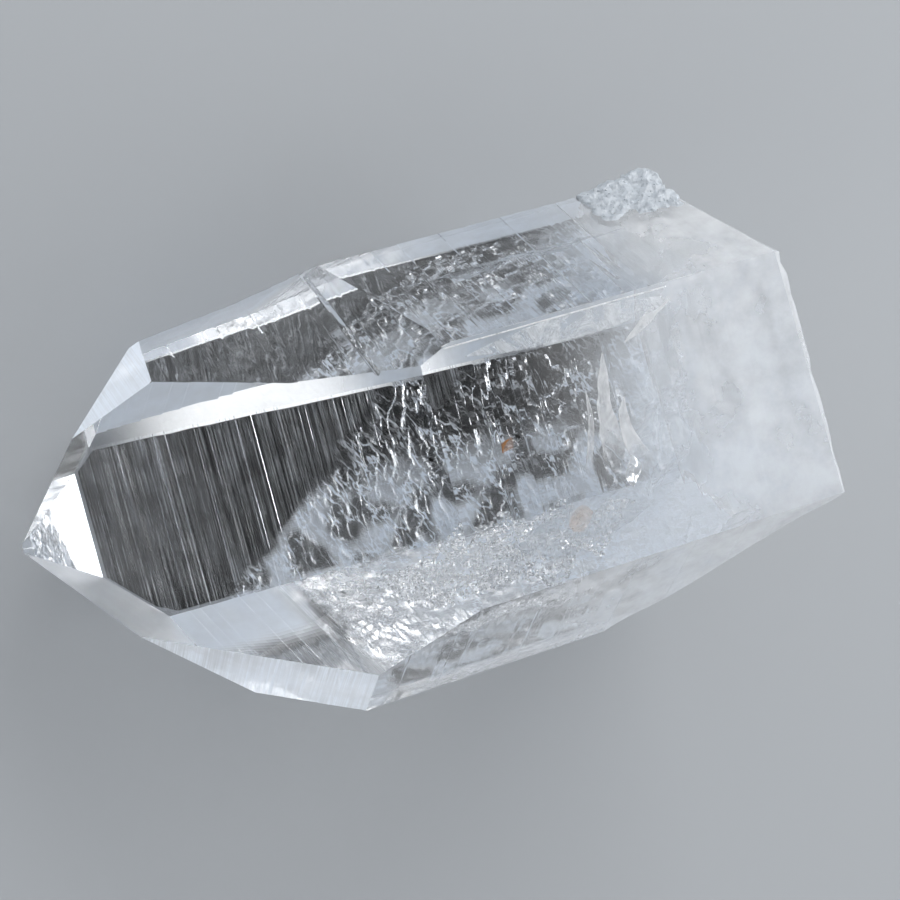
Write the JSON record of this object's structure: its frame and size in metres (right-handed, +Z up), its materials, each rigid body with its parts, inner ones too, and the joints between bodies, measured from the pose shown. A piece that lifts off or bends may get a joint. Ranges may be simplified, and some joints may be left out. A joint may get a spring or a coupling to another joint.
{
  "type": "lemurian quartz point",
  "caption": "Clear six-sided quartz crystal with a pointed tip, ladder ledges across its sides, a broken base and a slanted break; lies on its broad lower face.",
  "frame": {"origin": "centre of the bounding box, on the surface that the crystal rests on", "axes": "+X runs along the crystal from the tip to the broken base, +Z up"},
  "size_m": [0.0604, 0.0358, 0.0293],
  "materials": {
    "clear_quartz": "clear at the tip, milky towards the base, glassy natural faces with fine ladder striations"
  },
  "bodies": {
    "root": {"quartz_point": "clear_quartz"}
  },
  "joints": []
}
